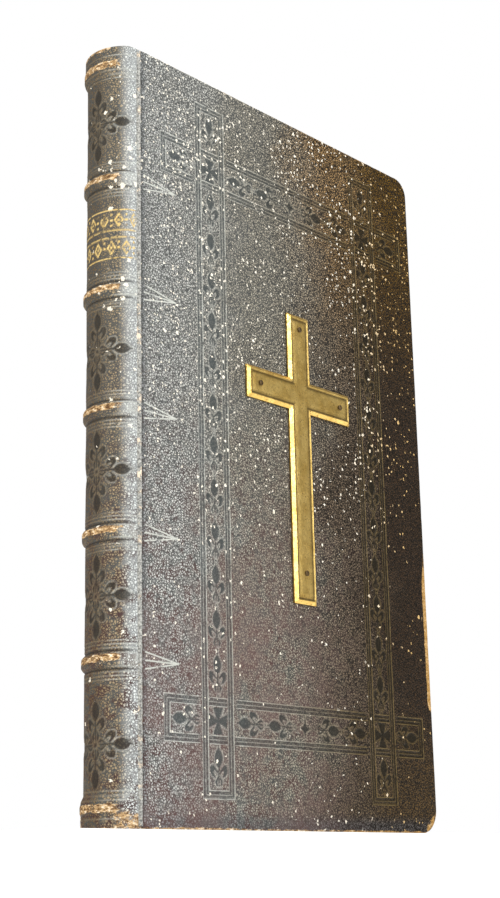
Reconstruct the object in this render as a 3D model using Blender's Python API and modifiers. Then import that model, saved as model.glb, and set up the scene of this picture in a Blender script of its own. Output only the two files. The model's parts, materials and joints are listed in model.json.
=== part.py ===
"""A leather-bound prayer book with raised bands and a brass cross on its front board.

It stands on its tail: +Z runs up the spine, -X is the spine, -Y the front board.
Metres. Plan places are given as (u, v): u from the front hinge groove towards the
fore-edge, v from the front board's face towards the back board's face.
"""

import math

import bmesh
import bpy

# Boards
BOARD_HEIGHT = 0.335
BOARD_REACH = 0.1945  # from the hinge groove to the fore-edge
BOARD_START = 0.001
BOARD_THICKNESS = 0.0044
BOARD_CORNER_RADIUS = 0.010
BOARD_EDGE_ROUND = 0.0009
LEATHER_THICKNESS = 0.0009
TURN_IN_THICKNESS = 0.0007
TURN_IN_WIDTH = 0.014
TURN_IN_AT_JOINT = 0.003
PASTEDOWN_THICKNESS = 0.0004

# Spine, an elliptical arc in plan
BOOK_THICKNESS = 0.030
SPINE_CENTRE_U = 0.004
SPINE_HALF_DEPTH = 0.014
SPINE_HALF_WIDTH = 0.015
SPINE_END_U = 0.0002
BAND_HEIGHTS = (0.0656, 0.1174, 0.1691, 0.2213, 0.2720)
BAND_RISE = 0.0023
BAND_HALF_WIDTH = 0.0028
BAND_FULL_ANGLE = math.radians(50)
CORD_RADIUS = 0.00075
CORD_END_ANGLE = math.radians(56)
LINING_THICKNESS = 0.0008
LINING_END_ANGLE = math.radians(58)
SEWN_BACK_END_ANGLE = math.radians(66)
ENDBAND_RADIUS = 0.0011
ENDBAND_END_ANGLE = math.radians(60)

# Text block
SQUARE = 0.004  # how far the boards overhang the leaves
LEAF_HINGE_U = 0.0034
LEAF_REACH = 0.1902
FORE_EDGE_HOLLOW = 0.006
LEAF_GROUPS_PER_SIDE = 6
FLYLEAF_THICKNESS = 0.0003
FLYLEAF_START_U = 0.0015

# Cross
CROSS_CENTRE_U = 0.1008
CROSS_ARM_MIDDLE = 0.1963
CROSS_TOP = 0.2355
CROSS_FOOT = 0.0989
CROSS_SPAN = 0.0722
CROSS_BAR_WIDTH = 0.0150
CROSS_THICKNESS = 0.0020
CROSS_BEVEL = 0.0012
TACK_HEAD_RADIUS = 0.0013
TACK_HEAD_HEIGHT = 0.0005
TACK_SHANK_RADIUS = 0.0005
TACK_SHANK_LENGTH = 0.0052
TACK_HOLE_RADIUS = 0.0008
TACK_HOLE_DEPTH = 0.0065
TACK_FROM_ARM_END = 0.0080
TACK_FROM_TOP = 0.0070
TACK_FROM_FOOT = 0.0140

GAP = 0.0003  # between pieces that touch
OVERCUT = 0.001
SPINE_COLUMNS = 20

FRONT_OF_CROSS = GAP + CROSS_THICKNESS + GAP + TACK_HEAD_HEIGHT
CENTRE_U = (BOARD_REACH - (SPINE_HALF_DEPTH - SPINE_CENTRE_U) - BAND_RISE) / 2
CENTRE_V = (BOOK_THICKNESS - FRONT_OF_CROSS) / 2
SPINE_END_ANGLE = math.acos((SPINE_CENTRE_U - SPINE_END_U) / SPINE_HALF_DEPTH)
FLYLEAF_START_V = BOARD_THICKNESS + GAP
LEAVES_START_V = FLYLEAF_START_V + FLYLEAF_THICKNESS + GAP
LEAVES_PITCH = (BOOK_THICKNESS / 2 - LEAVES_START_V) / LEAF_GROUPS_PER_SIDE
LEAVES_THICKNESS = LEAVES_PITCH - GAP


def clear_scene():
    for obj in list(bpy.data.objects):
        bpy.data.objects.remove(obj, do_unlink=True)


def new_collection(name, hidden=False):
    collection = bpy.data.collections.new(name)
    collection.hide_render = hidden
    bpy.context.scene.collection.children.link(collection)
    return collection


def make_material(name, colour, roughness, metallic=0.0):
    material = bpy.data.materials.new(name)
    material.use_nodes = True
    shader = material.node_tree.nodes["Principled BSDF"]
    shader.inputs["Base Color"].default_value = (*colour, 1.0)
    shader.inputs["Roughness"].default_value = roughness
    shader.inputs["Metallic"].default_value = metallic
    material.diffuse_color = (*colour, 1.0)
    return material


def world(u, v, z):
    """A plan place and a height as a place in the scene."""
    return u - CENTRE_U, v - CENTRE_V, z


def add_empty(name, u, v, collection):
    empty = bpy.data.objects.new(name, None)
    empty.empty_display_size = 0.02
    empty.location = world(u, v, 0)
    collection.objects.link(empty)
    return empty


def add_object(name, data, location, collection, material, parent=None):
    """Links the object with its origin at location, under a parent that only shifts it."""
    obj = bpy.data.objects.new(name, data)
    collection.objects.link(obj)
    obj.location = location
    if parent:
        obj.parent = parent
        obj.location = [a - b for a, b in zip(location, parent.location)]
    if material:
        obj.data.materials.append(material)
    return obj


def flat_outline(name, points, depth):
    """A filled outline in local XY, extruded to depth, centred on its plane."""
    curve = bpy.data.curves.new(name, "CURVE")
    curve.dimensions = "2D"
    curve.fill_mode = "BOTH"
    curve.extrude = depth / 2
    spline = curve.splines.new("POLY")
    spline.points.add(len(points) - 1)
    for point, (x, y) in zip(spline.points, points):
        point.co = (x, y, 0, 1)
    spline.use_cyclic_u = True
    return curve


def upright_slab(name, points, v_start, v_end, collection, material, parent=None):
    """A slab whose outline is given in (u, z) and whose thickness runs along v."""
    curve = flat_outline(name, points, v_end - v_start)
    place = world(0, (v_start + v_end) / 2, 0)
    slab = add_object(name, curve, place, collection, material, parent)
    slab.rotation_euler = (math.pi / 2, 0, 0)
    return slab


def standing_prism(name, points, z_start, z_end, collection, material, parent=None):
    """A prism whose outline is given in (u, v), standing from z_start to z_end."""
    curve = flat_outline(name, points, z_end - z_start)
    place = world(0, 0, (z_start + z_end) / 2)
    return add_object(name, curve, place, collection, material, parent)


def as_mesh(curve_object):
    """Replaces a curve object with its closed mesh, welded, in the same place."""
    bpy.context.view_layer.update()
    graph = bpy.context.evaluated_depsgraph_get()
    mesh = bpy.data.meshes.new_from_object(curve_object.evaluated_get(graph))
    shape = bmesh.new()
    shape.from_mesh(mesh)
    bmesh.ops.remove_doubles(shape, verts=shape.verts, dist=1e-6)
    bmesh.ops.recalc_face_normals(shape, faces=shape.faces)
    bmesh.ops.dissolve_limit(shape, angle_limit=0.001, verts=shape.verts, edges=shape.edges)
    shape.to_mesh(mesh)
    shape.free()
    name, parent = curve_object.name, curve_object.parent
    matrix = curve_object.matrix_world.copy()
    collection = curve_object.users_collection[0]
    bpy.data.objects.remove(curve_object, do_unlink=True)
    solid = bpy.data.objects.new(name, mesh)
    collection.objects.link(solid)
    solid.parent = parent
    solid.matrix_world = matrix
    return solid


def add_bevel(obj, width, segments):
    bevel = obj.modifiers.new("rounded edges", "BEVEL")
    bevel.width = width
    bevel.segments = segments
    bevel.limit_method = "ANGLE"


def cut(obj, cutter):
    boolean = obj.modifiers.new("cut by " + cutter.name, "BOOLEAN")
    boolean.operation = "DIFFERENCE"
    boolean.solver = "EXACT"
    boolean.object = cutter
    cutter.hide_render = True
    cutter.display_type = "WIRE"


def board_outline(inset, joint_inset=None):
    """The board in (u, z), square at the joint and rounded at the fore-edge corners."""
    start = BOARD_START + (inset if joint_inset is None else joint_inset)
    end = BOARD_REACH - inset
    radius = max(BOARD_CORNER_RADIUS - inset, 0.001)
    low, high = inset, BOARD_HEIGHT - inset
    points = [(start, high), (start, low)]
    for centre_z, first in ((low + radius, -90), (high - radius, 0)):
        for step in range(7):
            angle = math.radians(first + 15 * step)
            u = end - radius + radius * math.cos(angle)
            points.append((u, centre_z + radius * math.sin(angle)))
    return points


def board_v(side, start, end):
    """Depths measured in from a board's face, as (v_start, v_end) for either board."""
    if side == "front":
        return start, end
    return BOOK_THICKNESS - end, BOOK_THICKNESS - start


def make_board(side, hinge, parts, cutters, materials):
    """The leather skin with its turn-ins, the millboard inside it, and the pastedown."""
    v = board_v(side, 0, BOARD_THICKNESS)
    name = side + "_cover_leather"
    leather = as_mesh(upright_slab(name, board_outline(0), *v, parts, None, hinge))
    leather.data.materials.append(materials["leather"])
    add_bevel(leather, BOARD_EDGE_ROUND, 2)

    pocket_end = BOARD_THICKNESS - TURN_IN_THICKNESS
    v = board_v(side, LEATHER_THICKNESS, pocket_end)
    pocket = as_mesh(
        upright_slab(side + "_pocket", board_outline(LEATHER_THICKNESS), *v, cutters, None)
    )
    cut(leather, pocket)
    v = board_v(side, pocket_end - OVERCUT, BOARD_THICKNESS + OVERCUT)
    outline = board_outline(TURN_IN_WIDTH, TURN_IN_AT_JOINT)
    window = as_mesh(upright_slab(side + "_window", outline, *v, cutters, None))
    cut(leather, window)

    outline = board_outline(LEATHER_THICKNESS + GAP)
    v = board_v(side, LEATHER_THICKNESS + GAP, pocket_end - GAP)
    name = side + "_millboard"
    millboard = as_mesh(upright_slab(name, outline, *v, parts, None, hinge))
    millboard.data.materials.append(materials["millboard"])

    outline = board_outline(TURN_IN_WIDTH + GAP, TURN_IN_AT_JOINT + GAP)
    v = board_v(side, pocket_end, pocket_end + PASTEDOWN_THICKNESS)
    upright_slab(side + "_pastedown", outline, *v, parts, materials["endpaper"], hinge)
    return leather, millboard


def cross_plate(name):
    """A plate of five rectangles that make a cross, bevelled along its front edges."""
    half_bar = CROSS_BAR_WIDTH / 2
    columns = (-CROSS_SPAN / 2, -half_bar, half_bar, CROSS_SPAN / 2)
    rows = (CROSS_FOOT, CROSS_ARM_MIDDLE - half_bar, CROSS_ARM_MIDDLE + half_bar, CROSS_TOP)
    back = CROSS_THICKNESS / 2
    shape = bmesh.new()
    grid = [[shape.verts.new((u, back, z)) for z in rows] for u in columns]
    for i, k in ((1, 0), (1, 1), (1, 2), (0, 1), (2, 1)):
        shape.faces.new((grid[i][k], grid[i + 1][k], grid[i + 1][k + 1], grid[i][k + 1]))
    bmesh.ops.delete(shape, geom=[v for v in shape.verts if not v.link_faces], context="VERTS")
    front = bmesh.ops.extrude_face_region(shape, geom=list(shape.faces))["geom"]
    front_verts = [item for item in front if isinstance(item, bmesh.types.BMVert)]
    bmesh.ops.translate(shape, verts=front_verts, vec=(0, -CROSS_THICKNESS, 0))
    bmesh.ops.recalc_face_normals(shape, faces=shape.faces)
    rim = [
        edge
        for edge in shape.edges
        if all(vert in front_verts for vert in edge.verts) and edge.calc_face_angle() > 1
    ]
    bmesh.ops.bevel(shape, geom=rim, offset=CROSS_BEVEL, segments=1, affect="EDGES")
    mesh = bpy.data.meshes.new(name)
    shape.to_mesh(mesh)
    shape.free()
    return mesh


def tack_places():
    reach = CROSS_SPAN / 2 - TACK_FROM_ARM_END
    return {
        "top": (CROSS_CENTRE_U, CROSS_TOP - TACK_FROM_TOP),
        "left": (CROSS_CENTRE_U - reach, CROSS_ARM_MIDDLE),
        "right": (CROSS_CENTRE_U + reach, CROSS_ARM_MIDDLE),
        "foot": (CROSS_CENTRE_U, CROSS_FOOT + TACK_FROM_FOOT),
    }


def make_tack(name, place, parent, collection, material):
    """A domed tack, turned about local Z and laid along +Y so that it points into the board."""
    dome = [(TACK_HEAD_RADIUS * math.sin(math.radians(15 * k)),
             TACK_HEAD_HEIGHT * math.cos(math.radians(15 * k))) for k in range(7)]
    profile = dome + [(TACK_SHANK_RADIUS, 0), (TACK_SHANK_RADIUS, -TACK_SHANK_LENGTH),
                      (0, -TACK_SHANK_LENGTH)]
    mesh = bpy.data.meshes.new(name)
    edges = [(i, i + 1) for i in range(len(profile) - 1)]
    mesh.from_pydata([(x, 0, z) for x, z in profile], edges, [])
    tack = add_object(name, mesh, place, collection, material, parent)
    tack.rotation_euler = (math.pi / 2, 0, 0)
    screw = tack.modifiers.new("turned", "SCREW")
    screw.steps = screw.render_steps = 12
    screw.use_merge_vertices = True
    screw.merge_threshold = 1e-6
    return tack


def make_cross(hinge, board_pieces, parts, cutters, material):
    """The bevelled cross, its four tacks, and the holes that the tacks go through."""
    place = world(CROSS_CENTRE_U, -GAP - CROSS_THICKNESS / 2, 0)
    cross = add_object("brass_cross", cross_plate("brass_cross"), place, parts, material, hinge)
    head_v = -2 * GAP - CROSS_THICKNESS
    for where, (u, z) in tack_places().items():
        make_tack("cross_tack_" + where, world(u, head_v, z), hinge, parts, material)
        bpy.ops.mesh.primitive_cylinder_add(
            vertices=12,
            radius=TACK_HOLE_RADIUS,
            depth=TACK_HOLE_DEPTH,
            location=world(u, head_v - OVERCUT + TACK_HOLE_DEPTH / 2, z),
            rotation=(math.pi / 2, 0, 0),
        )
        hole = bpy.context.object
        hole.name = "tack_hole_" + where
        for collection in hole.users_collection:
            collection.objects.unlink(hole)
        cutters.objects.link(hole)
        for piece in (cross, *board_pieces):
            cut(piece, hole)


def spine_point(angle, offset):
    """A plan place on the spine's arc: angle 0 is its middle, offset is outwards."""
    u = SPINE_CENTRE_U - (SPINE_HALF_DEPTH + offset) * math.cos(angle)
    v = BOOK_THICKNESS / 2 + (SPINE_HALF_WIDTH + offset) * math.sin(angle)
    return u, v


def arc_angles(end_angle, count):
    return [end_angle * (2 * k / (count - 1) - 1) for k in range(count)]


def band_rise(angle, share):
    """The band's height at an angle: full over the middle, dying away at the joints."""
    fall = (abs(angle) - BAND_FULL_ANGLE) / (SPINE_END_ANGLE - BAND_FULL_ANGLE)
    fall = min(max(fall, 0.0), 1.0)
    return BAND_RISE * share * (1 - fall * fall * (3 - 2 * fall))


def curved_sheet(name, rows, end_angle, columns, thickness, collection, material):
    """An open surface along the spine, solidified inwards.

    rows are (height, offset, share of the band's rise).
    """
    shape = bmesh.new()
    grid = []
    for z, offset, share in rows:
        line = []
        for angle in arc_angles(end_angle, columns):
            place = spine_point(angle, offset + band_rise(angle, share))
            line.append(shape.verts.new(world(*place, z)))
        grid.append(line)
    for low, high in zip(grid, grid[1:]):
        for k in range(columns - 1):
            shape.faces.new((low[k], high[k], high[k + 1], low[k + 1]))
    bmesh.ops.recalc_face_normals(shape, faces=shape.faces)
    mesh = bpy.data.meshes.new(name)
    shape.to_mesh(mesh)
    shape.free()
    sheet = add_object(name, mesh, (0, 0, 0), collection, material)
    solidify = sheet.modifiers.new("thickness", "SOLIDIFY")
    solidify.thickness = thickness
    outwards = mesh.polygons[len(mesh.polygons) // 2].normal.x < 0
    solidify.offset = -1 if outwards else 1
    return sheet


def spine_rows():
    steps = [(-1.0, 0.0), (-0.82, 0.6), (-0.6, 0.95), (0.0, 1.0), (0.6, 0.95), (0.82, 0.6), (1.0, 0.0)]
    rows = [(0.0, 0.0, 0.0)]
    for height in BAND_HEIGHTS:
        rows += [(height + step * BAND_HALF_WIDTH, 0.0, share) for step, share in steps]
    return rows + [(BOARD_HEIGHT, 0.0, 0.0)]


def arc_rod(name, z, offset, end_angle, radius, collection, material):
    """A round rod that follows the spine's arc at one height."""
    curve = bpy.data.curves.new(name, "CURVE")
    curve.dimensions = "3D"
    curve.bevel_depth = radius
    curve.bevel_resolution = 1
    curve.use_fill_caps = True
    angles = arc_angles(end_angle, 15)
    spline = curve.splines.new("POLY")
    spline.points.add(len(angles) - 1)
    for point, angle in zip(spline.points, angles):
        point.co = (*world(*spine_point(angle, offset), z), 1)
    return add_object(name, curve, (0, 0, 0), collection, material)


def make_spine(parts, materials):
    """Leather, raised-band cords and lining over the sewn back, with an endband at each end."""
    curved_sheet("spine_leather", spine_rows(), SPINE_END_ANGLE, SPINE_COLUMNS,
                 LEATHER_THICKNESS, parts, materials["leather"])
    lining_offset = -LEATHER_THICKNESS - GAP
    rows = [(SQUARE + OVERCUT, lining_offset, 0), (BOARD_HEIGHT - SQUARE - OVERCUT, lining_offset, 0)]
    curved_sheet("spine_lining", rows, LINING_END_ANGLE, SPINE_COLUMNS,
                 LINING_THICKNESS, parts, materials["linen"])
    cord_offset = lining_offset + GAP + CORD_RADIUS
    for number, height in enumerate(BAND_HEIGHTS, 1):
        arc_rod("raised_band_cord_%d" % number, height, cord_offset, CORD_END_ANGLE,
                CORD_RADIUS, parts, materials["hemp"])

    back_offset = lining_offset - LINING_THICKNESS - GAP
    arc = [spine_point(angle, back_offset) for angle in arc_angles(SEWN_BACK_END_ANGLE, 17)]
    face_u = LEAF_HINGE_U - LEAVES_THICKNESS / 2 - GAP
    shoulder_u = BOARD_START - GAP - OVERCUT / 10
    far_v = BOOK_THICKNESS - LEAVES_START_V
    outline = arc + [(shoulder_u, far_v), (face_u, far_v),
                     (face_u, LEAVES_START_V), (shoulder_u, LEAVES_START_V)]
    standing_prism("sewn_back", outline, SQUARE, BOARD_HEIGHT - SQUARE, parts, materials["paper"])

    endband_z = SQUARE - GAP - ENDBAND_RADIUS
    for name, z in (("tail_endband", endband_z), ("head_endband", BOARD_HEIGHT - endband_z)):
        arc_rod(name, z, back_offset, ENDBAND_END_ANGLE, ENDBAND_RADIUS, parts, materials["silk"])


def fore_edge_u(v):
    """Where the leaves end at a depth: furthest out beside the boards, hollow in the middle."""
    half = BOOK_THICKNESS / 2 - LEAVES_START_V
    across = (v - BOOK_THICKNESS / 2) / half
    return LEAF_REACH - FORE_EDGE_HOLLOW * (1 - across * across)


def leaf_group_outline(middle_v):
    """A gathering in plan about its hinge: a round fold, flat sides and its share of the fore-edge."""
    half = LEAVES_THICKNESS / 2
    fold = []
    for step in range(7):
        angle = math.radians(90 + 30 * step)
        fold.append((half * math.cos(angle), half * math.sin(angle)))
    edge = [(fore_edge_u(middle_v + shift) - LEAF_HINGE_U, shift) for shift in (-half, half)]
    return fold + edge


def make_leaves(parts, materials):
    z_range = (SQUARE, BOARD_HEIGHT - SQUARE)
    for side in ("front", "back"):
        v = board_v(side, FLYLEAF_START_V, FLYLEAF_START_V + FLYLEAF_THICKNESS)
        hinge_v = board_v(side, 0, 0)[0]
        hinge = add_empty(side + "_flyleaf_hinge", 0, hinge_v, parts)
        outline = [(FLYLEAF_START_U, z_range[0]), (LEAF_REACH, z_range[0]),
                   (LEAF_REACH, z_range[1]), (FLYLEAF_START_U, z_range[1])]
        upright_slab(side + "_flyleaf", outline, *v, parts, materials["endpaper"], hinge)
        for number in range(1, LEAF_GROUPS_PER_SIDE + 1):
            start = LEAVES_START_V + (number - 1) * LEAVES_PITCH + GAP / 2
            middle_v = board_v(side, start + LEAVES_THICKNESS / 2, 0)[0 if side == "front" else 1]
            group = standing_prism("%s_leaves_%d" % (side, number), leaf_group_outline(middle_v),
                                   *z_range, parts, materials["paper"])
            group.location = world(LEAF_HINGE_U, middle_v, BOARD_HEIGHT / 2)


def main():
    clear_scene()
    parts = new_collection("prayer_book")
    cutters = new_collection("cutters", hidden=True)
    materials = {
        "leather": make_material("leather", (0.045, 0.032, 0.026), 0.55),
        "millboard": make_material("millboard", (0.25, 0.20, 0.15), 0.9),
        "endpaper": make_material("endpaper", (0.62, 0.52, 0.38), 0.85),
        "paper": make_material("paper", (0.78, 0.70, 0.55), 0.9),
        "linen": make_material("linen", (0.55, 0.48, 0.36), 0.95),
        "hemp": make_material("hemp", (0.42, 0.31, 0.18), 0.95),
        "silk": make_material("silk", (0.35, 0.08, 0.06), 0.6),
        "brass": make_material("brass", (0.55, 0.38, 0.13), 0.35, 1.0),
    }
    make_spine(parts, materials)
    make_leaves(parts, materials)
    front_hinge = add_empty("front_board_hinge", 0, 0, parts)
    back_hinge = add_empty("back_board_hinge", 0, BOOK_THICKNESS, parts)
    front_pieces = make_board("front", front_hinge, parts, cutters, materials)
    make_board("back", back_hinge, parts, cutters, materials)
    make_cross(front_hinge, front_pieces, parts, cutters, materials["brass"])


main()
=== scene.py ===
"""The looks of an old leather-bound prayer book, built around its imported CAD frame.

Plan places are in millimetres as (u, v, z): u from the hinge line towards the fore-edge,
v from the front board's face towards the back board's face, z up the spine from the tail.
"""

import json
import math
from bisect import bisect_left, bisect_right

import bmesh
import bpy
import numpy as np
from mathutils import Matrix, Vector


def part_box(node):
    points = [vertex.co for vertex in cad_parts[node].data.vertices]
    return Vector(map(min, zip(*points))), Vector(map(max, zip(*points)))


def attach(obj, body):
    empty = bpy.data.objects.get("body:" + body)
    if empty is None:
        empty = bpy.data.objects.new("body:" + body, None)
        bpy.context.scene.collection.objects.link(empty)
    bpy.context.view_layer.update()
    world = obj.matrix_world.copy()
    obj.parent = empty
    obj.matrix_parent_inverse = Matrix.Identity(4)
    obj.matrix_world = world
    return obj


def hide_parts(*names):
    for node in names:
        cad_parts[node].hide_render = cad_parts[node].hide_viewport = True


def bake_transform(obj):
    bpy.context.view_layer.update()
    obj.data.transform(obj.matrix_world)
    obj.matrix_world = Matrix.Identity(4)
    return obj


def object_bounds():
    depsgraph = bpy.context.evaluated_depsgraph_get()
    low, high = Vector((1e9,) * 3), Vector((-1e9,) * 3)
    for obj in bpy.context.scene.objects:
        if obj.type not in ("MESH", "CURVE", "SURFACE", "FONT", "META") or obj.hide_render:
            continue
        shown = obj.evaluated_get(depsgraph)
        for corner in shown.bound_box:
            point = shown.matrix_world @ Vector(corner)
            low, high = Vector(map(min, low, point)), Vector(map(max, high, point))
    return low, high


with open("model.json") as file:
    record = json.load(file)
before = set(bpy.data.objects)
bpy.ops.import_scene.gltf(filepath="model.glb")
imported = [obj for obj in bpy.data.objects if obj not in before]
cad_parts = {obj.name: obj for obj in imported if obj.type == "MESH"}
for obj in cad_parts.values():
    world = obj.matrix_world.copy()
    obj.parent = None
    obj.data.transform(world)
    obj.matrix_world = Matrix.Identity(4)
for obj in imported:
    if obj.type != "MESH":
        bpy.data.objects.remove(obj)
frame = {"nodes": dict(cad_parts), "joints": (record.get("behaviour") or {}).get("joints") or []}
cad_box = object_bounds()

MM = 0.001


# ---------------------------------------------------------------- sizes from the frame


def joint_place(name):
    return next(joint["pos_m"] for joint in frame["joints"] if joint["name"] == name)


HINGE_X, FACE_Y = joint_place("front_board_hinge")[:2]


def plan_box(node):
    """A CAD node's lowest and highest (u, v, z), in millimetres."""
    return [(np.array(corner) - (HINGE_X, FACE_Y, 0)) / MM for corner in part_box(node)]


BOARD_LOW, BOARD_HIGH = plan_box("front_cover_leather")
BOARD_START, BOARD_REACH = BOARD_LOW[0], BOARD_HIGH[0]
BOARD_THICKNESS, BOARD_HEIGHT = BOARD_HIGH[1], BOARD_HIGH[2]
BOOK_THICKNESS = plan_box("back_cover_leather")[1][1]
MIDDLE_V = BOOK_THICKNESS / 2
PASTEDOWN_LOW, PASTEDOWN_HIGH = plan_box("front_pastedown")
BANDS = [np.mean(plan_box("raised_band_cord_%d" % k), axis=0)[2] for k in range(1, 6)]
BAND_RISE = 2.3
SPINE_CENTRE_U = 4.0
SPINE_HALF_DEPTH = SPINE_CENTRE_U - BAND_RISE - plan_box("spine_leather")[0][0]
SPINE_END_ANGLE = math.acos((SPINE_CENTRE_U - 0.2) / SPINE_HALF_DEPTH)
LEATHER_THICKNESS = 0.9


# ---------------------------------------------------------------- numbers and outlines


def ramp(x, low, high):
    """0 below low, 1 above high, and smooth between."""
    t = np.clip((x - low) / (high - low), 0, 1)
    return t * t * (3 - 2 * t)


def ridge(x, centre, half):
    """1 at the centre, falling smoothly to 0 at half away from it."""
    return 1 - ramp(np.abs(x - centre), 0.25 * half, half)


def tent(x, centre, half):
    """1 at the centre and 0 at half away from it, in straight lines."""
    return np.clip(1 - np.abs(x - centre) / half, 0, 1)


def spread(low, high, step):
    """Evenly spaced places from low to high, at most step apart."""
    return np.linspace(low, high, max(2, math.ceil((high - low) / step - 1e-6) + 1))


def wander(x, y, scale, seed):
    """A smooth random surface in -1..1: waves in many directions, no shorter than scale."""
    source = np.random.default_rng(seed)
    total = np.zeros(np.broadcast(x, y).shape)
    for _ in range(9):
        turn, phase = source.uniform(0, 2 * math.pi, 2)
        rate = 2 * math.pi / (scale * source.uniform(1, 3.2))
        total += np.sin((np.cos(turn) * x + np.sin(turn) * y) * rate + phase)
    return total / 4.5


def capsules(x, y, points):
    """Signed distance to a tapering stroke through (x, y, radius) points."""
    best = np.full(x.shape, 1e9)
    for (ax, ay, ar), (bx, by, br) in zip(points, points[1:]):
        dx, dy = bx - ax, by - ay
        t = np.clip(((x - ax) * dx + (y - ay) * dy) / max(dx * dx + dy * dy, 1e-9), 0, 1)
        best = np.minimum(best, np.hypot(x - ax - t * dx, y - ay - t * dy) - (ar + (br - ar) * t))
    return best


def disc(x, y, cx, cy, radius):
    return np.hypot(x - cx, y - cy) - radius


FLEUR_LENGTH = 18.0


def fleur(x, y):
    """Signed distance to a fleur-de-lis stamp: x across it, y down from its tip."""
    side = np.abs(x)
    half_width, half_length, middle = 2.35, 4.1, 4.85
    bow = (half_length**2 + half_width**2) / (2 * half_width)
    spear = disc(side, y, half_width - bow, middle, bow)
    spear = np.minimum(spear, capsules(side, y, [(0.0, 0.2, 0.15), (0.0, 2.4, 0.75)]))
    head = capsules(side, y, [(2.3, 12.6, 0.25), (3.5, 11.6, 0.65), (4.1, 10.3, 1.05), (3.9, 9.0, 1.35)])
    curl = capsules(side, y, [(3.2, 8.5, 0.7), (1.9, 9.6, 0.45), (0.8, 10.6, 0.3)])
    stem = capsules(side, y, [(0.0, 9.2, 0.4), (0.0, 13.0, 0.5), (0.0, 15.9, 0.3)])
    petal = capsules(side, y, [(0.7, 12.6, 0.25), (1.7, 14.6, 0.55), (1.2, 15.9, 0.35)])
    tip = disc(side, y, 0, 0.1, 0.45)
    foot = disc(side, y, 0, 17.75, 0.5)
    return np.minimum.reduce([spear, head, curl, stem, petal, tip, foot])


def pattee(x, y):
    """Signed distance to a cross pattee 12 mm across, its arms narrow at the middle."""
    arms = []
    for along, across in ((x, y), (y, x)):
        along, across = np.abs(along), np.abs(across)
        arms.append(np.maximum((across - 0.5 - 0.47 * along) * 0.9, along - 5.9))
    return np.minimum(*arms)


def star(x, y):
    """Signed distance to a small four-pointed star between dots."""
    x, y = np.abs(x), np.abs(y)
    body = 1.9 - np.hypot(x - 3.6, y - 3.6) * 0.72
    body = np.maximum(body + 0.55, np.maximum(x, y) - 3.7)
    return np.minimum.reduce([body, disc(x, y, 0, 5.0, 0.4)])


# ---------------------------------------------------------------- meshes


def to_world(points):
    points = np.asarray(points, float)
    return points * MM + (HINGE_X, FACE_Y, 0)


def places(u, v, z):
    """Plan points from columns of u, v and z, any of which may be one number for them all."""
    return np.stack(np.broadcast_arrays(u, v, z), axis=1)


def new_object(name, mesh):
    obj = bpy.data.objects.new(name, mesh)
    bpy.context.scene.collection.objects.link(obj)
    return obj


def build_piece(name, points, faces, body, materials, replaces=(), marks=None,
                face_materials=None, sharp=None, flip=False):
    """A mesh piece from plan points that rides on a body and stands for CAD nodes."""
    mesh = bpy.data.meshes.new(name)
    if flip:
        faces = [tuple(reversed(face)) for face in faces]
    mesh.from_pydata(to_world(points).tolist(), [], faces)
    for mark, values in (marks or {}).items():
        attribute = mesh.attributes.new(mark, "FLOAT", "POINT")
        attribute.data.foreach_set("value", np.asarray(values, np.float32))
    for material in materials:
        mesh.materials.append(material)
    if face_materials is not None:
        mesh.polygons.foreach_set("material_index", np.asarray(face_materials, np.int32))
    mesh.shade_smooth()
    if sharp is not None:
        mesh.set_sharp_from_angle(angle=math.radians(sharp))
    mesh.update()
    obj = new_object(name, mesh)
    if body:
        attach(obj, body)
    if replaces:
        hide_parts(*replaces)
    return obj


def pave(u_breaks, z_breaks, step_of, keep=None):
    """Cells over a rectangle as (points, faces).

    step_of gives a block's steps in u and z. A coarse cell takes in its finer
    neighbours' points along their shared edge, so that the sheet has no cracks.
    """
    blocks = []
    for u_low, u_high in zip(u_breaks, u_breaks[1:]):
        for z_low, z_high in zip(z_breaks, z_breaks[1:]):
            u_middle, z_middle = (u_low + u_high) / 2, (z_low + z_high) / 2
            if keep is None or keep(u_middle, z_middle):
                step_u, step_z = step_of(u_middle, z_middle)
                blocks.append((spread(u_low, u_high, step_u), spread(z_low, z_high, step_z)))
    index, points = {}, []
    rows, columns = {}, {}

    def point(u, z):
        key = (round(u, 5), round(z, 5))
        if key not in index:
            index[key] = len(points)
            points.append(key)
            rows.setdefault(key[1], []).append(key[0])
            columns.setdefault(key[0], []).append(key[1])
        return key

    cells = []
    for us, zs in blocks:
        grid = [[point(u, z) for z in zs] for u in us]
        for a, b in zip(grid, grid[1:]):
            cells.extend((a[k], b[k], b[k + 1], a[k + 1]) for k in range(len(zs) - 1))
    for line in (*rows.values(), *columns.values()):
        line.sort()

    def between(start, end):
        """The points on the edge from start up to end, start's own first."""
        level = start[1] == end[1]
        line = rows[start[1]] if level else columns[start[0]]
        low, high = (start[0], end[0]) if level else (start[1], end[1])
        found = line[bisect_right(line, min(low, high)):bisect_left(line, max(low, high))]
        if low > high:
            found = found[::-1]
        return [start] + [(value, start[1]) if level else (start[0], value) for value in found]

    faces = []
    for cell in cells:
        corners = [key for a, b in zip(cell, cell[1:] + cell[:1]) for key in between(a, b)]
        faces.append(tuple(index[key] for key in corners))
    return np.array(points), faces


def open_loops(faces):
    """The boundary loops of a sheet of faces, each in the faces' own direction."""
    edges = {(a, b) for face in faces for a, b in zip(face, face[1:] + face[:1])}
    following = {a: b for a, b in edges if (b, a) not in edges}
    loops = []
    while following:
        loop = [next(iter(following))]
        while loop[-1] in following:
            loop.append(following.pop(loop[-1]))
        loops.append(loop[:-1])
    return loops


def bridge(first, second):
    """Quads between two loops of as many points."""
    count = len(first)
    return [(first[k], second[k], second[(k + 1) % count], first[(k + 1) % count]) for k in range(count)]


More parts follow.
